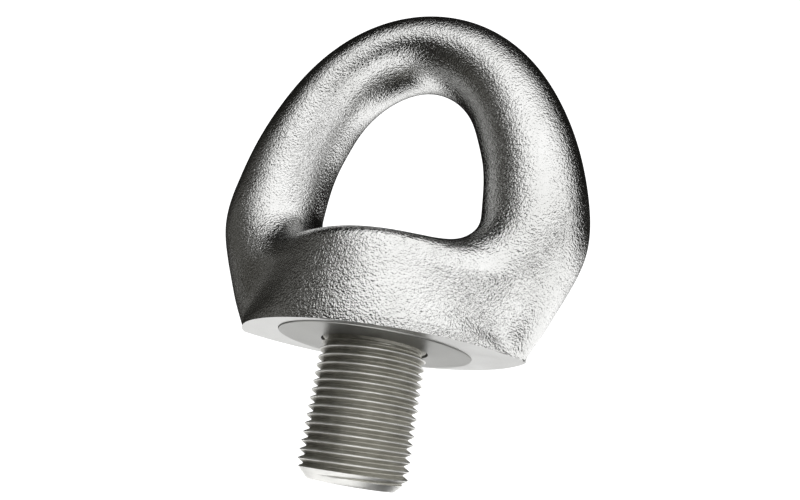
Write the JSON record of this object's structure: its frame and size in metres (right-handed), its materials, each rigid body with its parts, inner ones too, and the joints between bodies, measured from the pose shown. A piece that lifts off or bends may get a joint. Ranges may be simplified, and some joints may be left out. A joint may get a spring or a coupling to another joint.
{
  "type": "swivel lifting eye bolt",
  "caption": "Swivel lifting eye bolt: a D-shaped forged eye on a round boss turns on a flanged bush around a captive fine-threaded bolt.",
  "frame": {"origin": "on the bolt axis, on the seat plane: the underside of the bush flange, where the thread enters the load", "axes": "+Z along the bolt axis towards the eye, +X across the width of the ring, +Y through the eye"},
  "size_m": [0.0746, 0.0398, 0.0977],
  "materials": {
    "eye_steel": "blasted stainless steel",
    "bush_steel": "turned stainless steel",
    "washer_steel": "ground steel",
    "bolt_steel": "rolled thread, satin",
    "spring_steel": "spring steel"
  },
  "bodies": {
    "bolt": {"bolt": "bolt_steel", "snap_ring": "spring_steel"},
    "bush": {"flanged_bush": "bush_steel"},
    "washer": {"thrust_washer": "washer_steel"},
    "eye": {"eye_body": "eye_steel"}
  },
  "joints": [
    {"name": "bush_turn", "type": "hinge", "parent": "bolt", "child": "bush", "pos_m": [0, 0, 0], "axis": [0, 0, 1], "continuous": true},
    {"name": "washer_turn", "type": "hinge", "parent": "bolt", "child": "washer", "pos_m": [0, 0, 0.0099], "axis": [0, 0, 1], "continuous": true},
    {"name": "eye_swivel", "type": "hinge", "parent": "bush", "child": "eye", "pos_m": [0, 0, 0.006], "axis": [0, 0, 1], "continuous": true}
  ]
}
